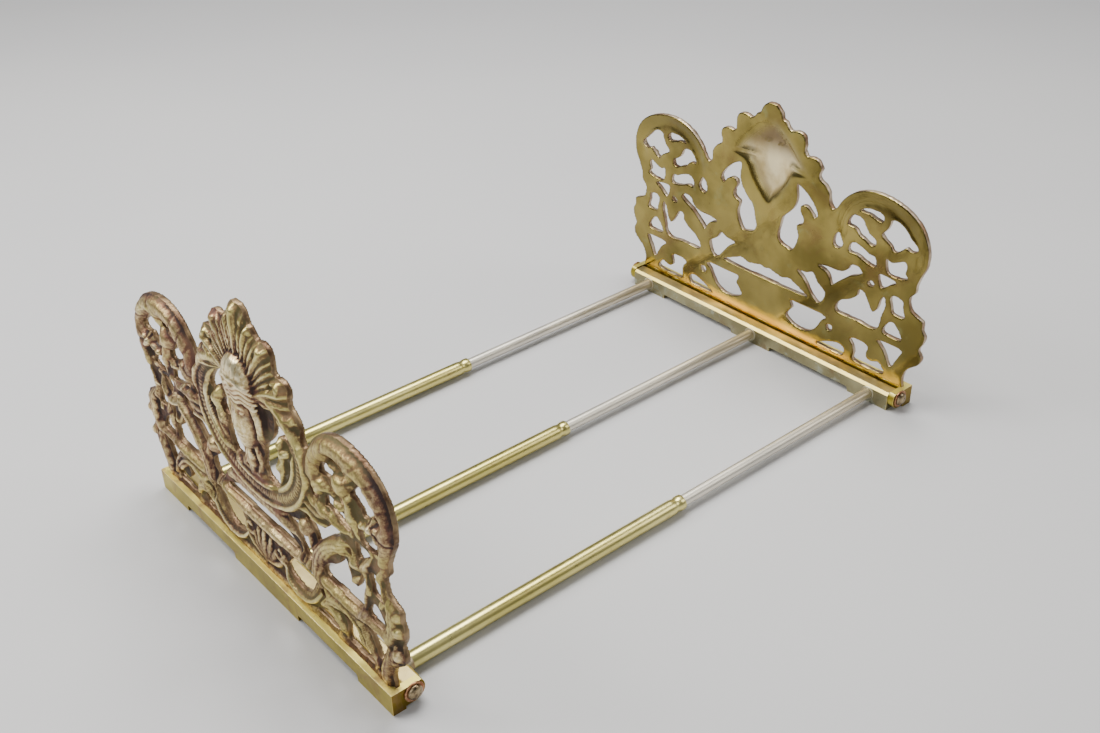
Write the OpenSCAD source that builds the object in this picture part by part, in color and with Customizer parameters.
// Expanding, folding book rack: two pierced cast end plates hinge on base bars, and three rods
// slide in three tubes to set the length. Millimetres, +X along the rods, +Z up, origin on the
// table under the middle of the rack. Left is +Y, right is -Y, near is -X, far is +X.

/* [Rack] */
// Overall length, from plinth face to plinth face, as opened
open_length = 275; // [270:1:276]
// Length of each plinth, across the rods
plinth_width = 165; // [162:1:168]
// Distance between neighbouring slides
rod_pitch = 69; // [66:0.5:70]
// Height of the slide centre lines above the table
rod_z = 4.2; // [4.2:0.1:4.6]
// Position of the tube mouths along the rack
tube_mouth_x = 8.3; // [0:0.1:12]

/* [Base bars] */
// Depth of a base bar, along the rods
bar_depth = 7.8; // [7.6:0.1:8]
// Height of a base bar
bar_height = 8.4; // [8.3:0.1:8.6]
// Rounding of the bar's upper outer edge, which the plinth swings past
bar_round = 2.2; // [2.1:0.1:2.6]
// Height of the relief cut between a bar's feet
bar_undercut = 2.2; // [1:0.1:2.5]
// Half width of a bar's middle foot
bar_mid_foot = 12; // [8:0.5:16]
// Distance from the centre to a bar's end feet
bar_end_foot = 58; // [50:0.5:62]
// Depth of the blind sockets that hold the tubes and the rods
socket_depth = 7; // [5:0.5:7]

/* [End castings] */
// Thickness of a plinth
plinth_depth = 5.2; // [5:0.1:6]
// Height of a plinth
plinth_height = 9; // [8.8:0.1:9.2]
// Height of the relief cut between a plinth's feet
plinth_undercut = 2.8; // [1:0.1:3]
// Thickness of the pierced plate
plate_thickness = 2.6; // [2.5:0.1:3.4]
// Extra thickness of the raised scrolls
scroll_rise = 1.5; // [0.5:0.1:1.7]
// Inward lean of the plates, in degrees
plate_lean = 2; // [1:0.5:3]
// Thickness of the hinge ears
ear_thickness = 3; // [2.5:0.1:3.2]
// Radius of the rounded ear round its pivot
ear_radius = 4.6; // [4:0.1:4.7]
// Radius of the mask's rounded brow
brow_radius = 11; // [10:0.5:12]

/* [Hinges] */
// Distance of the pivot from the bar's inner face
pivot_inset = 4.6; // [4.5:0.1:4.7]
// Height of the pivot above the table
pivot_z = 5.8; // [5.7:0.1:5.9]
// Radius of the rivet's shank
rivet_radius = 1.6; // [1.4:0.1:2]
// Radius of the rivet's domed head
rivet_head_radius = 2.9; // [2.5:0.1:3.2]
// Height of the rivet's domed head
rivet_head_height = 1.7; // [1.2:0.1:2]
// Outer radius of the washer
washer_radius = 3.9; // [3.5:0.1:4.2]
// Thickness of the washer
washer_thickness = 0.5; // [0.4:0.1:0.8]

/* [Slides] */
// Outer radius of a tube
tube_radius = 3.175; // [3.1:0.025:3.2]
// Bore radius of a tube
tube_bore = 2.675; // [2.65:0.025:2.7]
// Radius of a rod
rod_radius = 2.38; // [2.35:0.01:2.39]
// Length of rod inside its tube, as opened
rod_overlap = 20; // [16:0.5:22]
// Distance of the crimp from the tube's mouth
crimp_from_mouth = 2.5; // [2:0.5:4]
// Length of the crimp that guides the rod
crimp_length = 2.5; // [2:0.5:3]
// Length of the stop collar on a rod's hidden end
stop_length = 3; // [2:0.5:4]

/* [Hidden] */

// Clearances
plinth_gap = 0.2;
ear_gap = 0.15;
washer_gap = 0.06;
hinge_clearance = 0.08;
crimp_clearance = 0.06;
stop_clearance = 0.055;
overcut = 1;

// Places along the rods, as distances from the middle
plinth_inner_x = open_length / 2 - plinth_depth;
bar_outer_x = plinth_inner_x - plinth_gap;
bar_inner_x = bar_outer_x - bar_depth;
pivot_x = bar_inner_x + pivot_inset;
socket_end_x = bar_inner_x + socket_depth;

// Places across the rods
ear_inner_y = plinth_width / 2 - ear_thickness;
bar_half_y = ear_inner_y - ear_gap;
washer_y = plinth_width / 2 + washer_gap;
rivet_depth = bar_half_y - rod_pitch - tube_radius - 1;

plinth_mid_foot = 23;
plinth_end_foot = 61.5;
edge_break = 0.7;
crimp_radius = rod_radius + crimp_clearance;
crimp_groove = 0.25;
spigot_radius = 2;
boss_radius = tube_radius + 0.5;
boss_length = 3;

brass = [0.72, 0.62, 0.32];
old_gold = [0.66, 0.52, 0.34];
tube_brass = [0.80, 0.72, 0.38];
steel = [0.76, 0.75, 0.72];
bronze = [0.45, 0.34, 0.22];
copper = [0.66, 0.42, 0.28];

// ---- curves in the plate's own plane: [across, up] in mm, right half, +across outward ----

function spline(a, b, c, d, t) =
    0.5 * ((2 * b) + (c - a) * t + (2 * a - 5 * b + 4 * c - d) * t * t
           + (3 * b - a - 3 * c + d) * t * t * t);

// A smooth closed loop through the points, with n steps between neighbours
function loop(p, n = 2) = [
    for (i = [0 : len(p) - 1]) for (k = [0 : n - 1])
        spline(p[(i + len(p) - 1) % len(p)], p[i], p[(i + 1) % len(p)], p[(i + 2) % len(p)], k / n)];

// A smooth open path through the points
function path(p, n = 3) = concat([
    for (i = [0 : len(p) - 2]) for (k = [0 : n - 1])
        spline(p[max(i - 1, 0)], p[i], p[i + 1], p[min(i + 2, len(p) - 1)], k / n)],
    [p[len(p) - 1]]);

function along(q, i) = let (a = q[max(i - 1, 0)], b = q[min(i + 1, len(q) - 1)],
                            d = [b[0] - a[0], b[1] - a[1]]) d / norm(d);

// The outline of a ribbon that follows [across, up, width] points
function ribbon(q) = concat(
    [for (i = [0 : len(q) - 1]) let (t = along(q, i)) [q[i][0] - t[1] * q[i][2] / 2, q[i][1] + t[0] * q[i][2] / 2]],
    [for (i = [len(q) - 1 : -1 : 0]) let (t = along(q, i)) [q[i][0] + t[1] * q[i][2] / 2, q[i][1] - t[0] * q[i][2] / 2]]);

// Right half of the casting's outline, from the plinth up to the crest
outline = [
    [82, 9], [79.5, 14], [81, 19], [84, 23], [85.5, 29], [85, 35], [86, 40], [84, 44], [80.5, 46.5],
    [79.5, 51], [80.5, 56], [83.5, 63], [86, 70], [86, 78], [82.5, 86], [75, 92], [64, 95], [52, 93.5],
    [44.5, 89], [40, 83], [36.5, 81], [34, 84.5], [31, 90.5], [28.3, 93.5], [29.8, 96.5], [28.5, 100],
    [22, 100.3], [20.6, 103], [20.6, 107.5], [17, 109.8], [11.5, 109.4], [7.5, 111.5], [5.5, 115.5],
    [3, 118], [0, 118.5]];

// Knobs along the outer edge: [across, up, radius]
knobs = [[86.2, 42, 2.4], [87, 37, 2.2], [86.4, 27.5, 2.6], [84.6, 23, 2.2], [82.6, 58, 2]];

// Openings of the right half
openings = [
    [[17, 85.6], [21, 84.4], [25, 81.2], [28, 77.4], [29, 74.4], [27.2, 72.4], [25.4, 74.8],
     [22.6, 76.6], [19.8, 76], [19.2, 73.4], [21, 70], [20.4, 67], [17.2, 65.2], [18.2, 60.6],
     [17.2, 56], [14.8, 52.2], [11.4, 52.6], [8, 53.8], [6.4, 57], [7.6, 62], [8.8, 66.6], [12, 69.8],
     [15.4, 73.8], [17.2, 79]],
    [[19, 43.6], [24, 44.2], [28, 45.6], [31, 41.8], [35.2, 38.6], [34.6, 34.6], [32, 31.6], [29, 33],
     [25.4, 37.4], [22.6, 40.6]],
    [[30.6, 50.6], [36, 51.8], [43, 52.2], [46.4, 54.4], [48, 57.2], [51.8, 57.8], [54.3, 55.8],
     [52, 53.8], [48, 51.8], [44.6, 49], [41, 45.8], [38.6, 43.6], [37.2, 46.4], [34.6, 49]],
    [[42.6, 31.6], [41.6, 34.6], [44.4, 38.2], [49, 40.6], [52.4, 43.6], [53.2, 47], [56.2, 46.8],
     [58.8, 42.8], [61.4, 39.4], [63.4, 41.6], [64.8, 46.6], [66.6, 48.8], [67.6, 45], [66.2, 39.6],
     [63.6, 31.6], [52, 31.6]],
    [[67.8, 31.4], [68.6, 35.6], [71.6, 38.4], [74.8, 36.6], [77, 31.4]],
    [[69.6, 49], [71.4, 51.2], [75.8, 50.4], [76.6, 46.6], [77.4, 42.6], [71.6, 42.6], [70.6, 45.6]],
    [[62.8, 58.4], [67.6, 58.6], [72, 57.6], [69, 55.6], [66.2, 53.2], [64.2, 52.4], [63, 55]],
    [[65.8, 66.8], [68.4, 66], [71.2, 67], [75, 68.8], [76.4, 66.8], [75.8, 63.6], [77, 61.4],
     [72, 60], [66.6, 60.8]],
    [[67.6, 85.6], [71, 86], [74.4, 84.2], [78, 80.4], [81, 77.6], [80.6, 75.4], [77.6, 74.6],
     [75.4, 75.4], [73.4, 73.8], [71, 71.8], [69, 71.8], [67.8, 73.8], [64.6, 75.8], [63, 77.4],
     [65.6, 80.6], [67, 83.4]],
    [[51.6, 85], [55.6, 87], [61, 87.4], [63.8, 85.8], [63.2, 83.2], [60, 83.4], [56.4, 84.6],
     [53.4, 84.6]],
    [[47.6, 81], [50.4, 82], [53.4, 80.8], [55, 78], [57, 75.4], [60, 73.8], [60, 71], [57.4, 70.4],
     [54.4, 72], [51.6, 73], [49, 75.6], [45.4, 76], [45.8, 78.4]],
    [[46.4, 63.4], [46.8, 66.8], [49.6, 68.6], [54, 67.4], [57.4, 65.8], [60.2, 65.4], [61, 62.4],
     [60, 60.8], [55, 61.6], [50.4, 63.2]],
    [[37.6, 64.8], [38.4, 68.4], [40.6, 70.4], [42.4, 67.6], [43, 65.4], [41.6, 63.2], [38.8, 62.8]],
    [[57.2, 52.2], [59, 53.8], [60.6, 53.4], [60.6, 51.6], [58.6, 51]],
    [[16.4, 26.6], [17.2, 23], [15.2, 20.4], [13.8, 17.4], [18, 14.8], [24, 14], [29, 15.8], [32, 19],
     [34.6, 23.6], [37, 25.6], [33, 26.9], [25, 26.7]],
    [[37.6, 22.8], [40.6, 23.2], [40.4, 20.6], [37.8, 20.2]],
    [[32.8, 11], [36.6, 13.2], [40.4, 14.8], [45, 15.8], [48.2, 14.6], [48, 12.2], [46.6, 10.6],
     [38, 10.6]],
    [[50.8, 20.8], [54, 22.4], [59, 22], [61, 20.4], [60.2, 18], [60.6, 15.6], [63, 14.6], [67, 15.8],
     [69.4, 14], [70.2, 11.6], [66, 10.6], [56, 10.6], [53.2, 11.6], [53.4, 15], [52.6, 18.4]],
    [[65.2, 26.6], [70, 27.2], [78, 26.8], [77.2, 23.6], [75.4, 20], [74, 16.8], [72.2, 16.6],
     [70.8, 19.4], [68.6, 23], [66.4, 25]]];

// The long slot across the middle, right half
slot = [[23, 31.8], [21.6, 34.4], [17.6, 36.2], [14.6, 37.4], [10.6, 36.4], [6, 37], [2.6, 37.8]];

// Raised scrolls of the right half: [across, up, width]
scrolls = [
    [[82, 62, 4], [83.4, 70, 5.4], [82, 79, 7], [76, 87, 7.6], [66, 91, 7.6], [55, 89.8, 7.6], [46.5, 84, 7],
     [42, 76, 5.4], [41, 66, 4.4], [44.5, 60.5, 3.6]],
    [[15.5, 89, 3.6], [24, 88, 5.2], [31, 82.6, 6], [34, 74, 6.4], [32.6, 64, 6.4], [27, 55.5, 6.4],
     [18, 49.6, 6], [8, 46.4, 5], [0, 45.6, 4.6]],
    [[0, 29.8, 5], [40, 29.8, 5], [79, 29.8, 5]],
    [[61, 52.5, 3.6], [53, 50.8, 5.4], [45, 45.4, 5.8], [39.4, 37, 5.4], [36.8, 28, 4.6], [35.4, 22.6, 3.6]],
    [[80.5, 56, 4], [78.4, 50, 4.4], [80.6, 41, 6.6], [81.6, 31, 7], [80, 22, 6], [77, 12.5, 5]],
    [[14.5, 18.4, 2.2], [19, 15.4, 2.8], [25, 14.6, 3], [31, 16.6, 3], [34, 20.6, 2.6]],
    [[78, 59.6, 3.4], [70, 52.6, 3.6], [62, 55, 4], [62.6, 66, 3.4], [62, 76, 4.4], [64.6, 84, 3.6]]];

module both_halves() {
    children();
    mirror([1, 0]) children();
}

module flat_plate() {
    offset(r = 0.01) difference() {
        union() {
            both_halves() {
                polygon(concat([[0, plinth_height - 1], [80, plinth_height - 1]], path(outline, 2)));
                for (k = knobs) translate([k[0], k[1]]) circle(k[2], $fn = 16);
            }
        }
        both_halves() for (o = openings) polygon(loop(o));
        polygon(concat(path(slot, 2), [for (i = [len(slot) - 1 : -1 : 0]) [-slot[i][0], slot[i][1]]], [[0, 31.8]]));
    }
}

module raised_scrolls() {
    offset(r = 0.01) intersection() {
        both_halves() for (s = scrolls) polygon(ribbon(path(s)));
        flat_plate();
    }
}

// Fluted shell that frames the head, cut by grooves that run out from the brow
flute_count = 9;
flute_step = 16;
flute_base = [0, 84];

module shell() {
    offset(r = 0.01) difference() {
        intersection() {
            flat_plate();
            translate([-40, 86]) square([80, 40]);
        }
        for (i = [0 : flute_count - 1]) let (a = 90 + (i - (flute_count - 1) / 2) * flute_step + flute_step / 2)
            translate(flute_base) rotate(a) translate([brow_radius, -0.5]) square([40, 1]);
    }
}

// Turns a drawing of [across, up] into a solid that grows outward from the plate's back
module stand_up(height) {
    rotate([90, 0, -90]) linear_extrude(height) children();
}

brow_z = 88;
brow_sink = 5.5;
chin_z = 57;
hollow_depth = 1.4;

// The head: a rounded brow with a plain tapering face under it
module head() {
    intersection() {
        translate([-plate_thickness + brow_sink, 0, brow_z]) sphere(brow_radius, $fn = 48);
        translate([-20, -20, brow_z - 20]) cube([20, 40, 40]);
    }
    stand_up(plate_thickness + 2.4) polygon([[-9, brow_z], [-7.5, 72], [-3.4, chin_z], [3.4, chin_z], [7.5, 72], [9, brow_z]]);
}

module head_hollow() {
    translate([overcut, 0, 0]) stand_up(hollow_depth + overcut)
        polygon([[-20, 93], [-9, 92], [-6, 80], [0, 70], [6, 80], [9, 92], [20, 93], [8, 103], [-8, 103]]);
}

// Ornamental plate, standing with its back on x = 0 and leaning inward by plate_lean
module ornament() {
    translate([0, 0, plinth_height]) rotate([0, plate_lean, 0]) translate([0, 0, -plinth_height])
        difference() {
            union() {
                stand_up(plate_thickness) flat_plate();
                stand_up(plate_thickness + scroll_rise) raised_scrolls();
                stand_up(plate_thickness + 1) shell();
                head();
            }
            head_hollow();
        }
}

module plinth() {
    difference() {
        translate([-plinth_depth, -plinth_width / 2, 0]) cube([plinth_depth, plinth_width, plinth_height]);
        for (s = [-1, 1]) translate([-plinth_depth - overcut, min(s * plinth_mid_foot, s * plinth_end_foot), -overcut])
            cube([plinth_depth + 2 * overcut, plinth_end_foot - plinth_mid_foot, plinth_undercut + overcut]);
        translate([-plinth_depth, 0, plinth_height]) rotate([0, 45, 0])
            cube([edge_break, plinth_width + 2 * overcut, edge_break], center = true);
    }
}

// Cylinder that runs from y0 to y1
module across(radius, y0, y1) {
    translate([0, min(y0, y1), 0]) rotate([-90, 0, 0]) cylinder(r = radius, h = abs(y1 - y0), $fn = 48);
}

module ear(side) {
    reach = pivot_x - plinth_inner_x;
    difference() {
        intersection() {
            union() {
                translate([-reach, 0, pivot_z]) across(ear_radius, side * ear_inner_y, side * plinth_width / 2);
                translate([-plinth_depth / 2, min(side * ear_inner_y, side * plinth_width / 2), pivot_z - ear_radius])
                    cube([plinth_depth / 2 - reach, ear_thickness, 2 * ear_radius]);
            }
            translate([-20, -100, 0]) cube([40, 200, plinth_height]);
        }
        translate([-reach, 0, pivot_z]) across(rivet_radius + hinge_clearance, side * (ear_inner_y - overcut),
                                               side * (plinth_width / 2 + overcut));
    }
}

module end_plate() {
    translate([-plinth_inner_x, 0, 0]) {
        plinth();
        for (side = [-1, 1]) ear(side);
        ornament();
    }
}

module bar_profile() {
    difference() {
        union() {
            square([bar_depth, bar_height - bar_round]);
            square([bar_depth - bar_round, bar_height]);
            translate([bar_depth - bar_round, bar_height - bar_round]) circle(bar_round, $fn = 48);
        }
        translate([0, bar_height]) rotate(45) square(edge_break, center = true);
    }
}

// A bar on the far side; the near one is its mirror image, with sockets for tubes
module base_bar(socket_radius, with_bosses) {
    difference() {
        union() {
            translate([bar_inner_x, bar_half_y, 0]) rotate([90, 0, 0]) linear_extrude(2 * bar_half_y) bar_profile();
            if (with_bosses) for (i = [-1 : 1]) translate([bar_inner_x - boss_length, i * rod_pitch, rod_z])
                rotate([0, 90, 0]) cylinder(r = boss_radius, h = boss_length + overcut, $fn = 48);
        }
        for (s = [-1, 1]) translate([bar_inner_x - overcut, min(s * bar_mid_foot, s * bar_end_foot), -overcut])
            cube([bar_depth + 2 * overcut, bar_end_foot - bar_mid_foot, bar_undercut + overcut]);
        for (i = [-1 : 1]) translate([socket_end_x, i * rod_pitch, rod_z]) rotate([0, -90, 0])
            cylinder(r = socket_radius, h = socket_depth + boss_length + overcut, $fn = 48);
        for (s = [-1, 1]) translate([pivot_x, 0, pivot_z])
            across(rivet_radius, s * (bar_half_y - rivet_depth), s * (bar_half_y + overcut));
    }
}

module near_base_bar() {
    color(brass) mirror([1, 0, 0]) base_bar(tube_radius, true);
}

module far_base_bar() {
    color(brass) base_bar(rod_radius, false);
}

module near_end_plate() {
    color(old_gold) end_plate();
}

module far_end_plate() {
    color(old_gold) mirror([1, 0, 0]) end_plate();
}

// Half section of a tube: [radius, distance along it], crimped inward near its mouth
module slide_tube(i) {
    length = tube_mouth_x + socket_end_x;
    crimp_end = length - crimp_from_mouth;
    crimp_start = crimp_end - crimp_length;
    color(tube_brass) translate([-socket_end_x, i * rod_pitch, rod_z]) rotate([0, 90, 0])
        rotate_extrude($fn = 64) polygon([
            [tube_bore, 0], [tube_radius, 0], [tube_radius, crimp_start],
            [tube_radius - crimp_groove, crimp_start + 0.5], [tube_radius - crimp_groove, crimp_end - 0.5],
            [tube_radius, crimp_end], [tube_radius, length], [tube_bore, length],
            [crimp_radius, crimp_end], [crimp_radius, crimp_start], [tube_bore, crimp_start - 0.3]]);
}

module slide_rod(i) {
    start = tube_mouth_x - rod_overlap;
    color(steel) translate([start, i * rod_pitch, rod_z]) rotate([0, 90, 0])
        rotate_extrude($fn = 64) polygon([
            [0, 0], [spigot_radius, 0], [spigot_radius, stop_length], [rod_radius, stop_length],
            [rod_radius, socket_end_x - start], [0, socket_end_x - start]]);
}

module rod_stop(i) {
    color(bronze) translate([tube_mouth_x - rod_overlap, i * rod_pitch, rod_z]) rotate([0, 90, 0])
        difference() {
            cylinder(r = tube_bore - stop_clearance, h = stop_length, $fn = 48);
            translate([0, 0, -overcut]) cylinder(r = spigot_radius, h = stop_length + 2 * overcut, $fn = 48);
        }
}

// Domed rivet driven into the end of a bar
module rivet(end, side) {
    head_base = washer_y + washer_thickness;
    dome_radius = (pow(rivet_head_radius, 2) + pow(rivet_head_height, 2)) / (2 * rivet_head_height);
    color(bronze) translate([end * pivot_x, 0, pivot_z]) {
        across(rivet_radius, side * (bar_half_y - rivet_depth), side * head_base);
        intersection() {
            translate([0, side * (head_base + rivet_head_height - dome_radius), 0]) sphere(dome_radius, $fn = 48);
            across(rivet_head_radius + overcut, side * head_base, side * (head_base + rivet_head_height + overcut));
        }
    }
}

module washer(end, side) {
    color(copper) translate([end * pivot_x, 0, pivot_z]) difference() {
        across(washer_radius, side * washer_y, side * (washer_y + washer_thickness));
        across(rivet_radius, side * (washer_y - overcut), side * (washer_y + washer_thickness + overcut));
    }
}

near_base_bar();
far_base_bar();
near_end_plate();
far_end_plate();
slide_tube(1);  // slide_tube_left
slide_tube(0);  // slide_tube_middle
slide_tube(-1);  // slide_tube_right
slide_rod(1);  // slide_rod_left
slide_rod(0);  // slide_rod_middle
slide_rod(-1);  // slide_rod_right
rod_stop(1);  // rod_stop_left
rod_stop(0);  // rod_stop_middle
rod_stop(-1);  // rod_stop_right
rivet(-1, 1);  // near_rivet_left
rivet(-1, -1);  // near_rivet_right
rivet(1, 1);  // far_rivet_left
rivet(1, -1);  // far_rivet_right
washer(-1, 1);  // near_washer_left
washer(-1, -1);  // near_washer_right
washer(1, 1);  // far_washer_left
washer(1, -1);  // far_washer_right
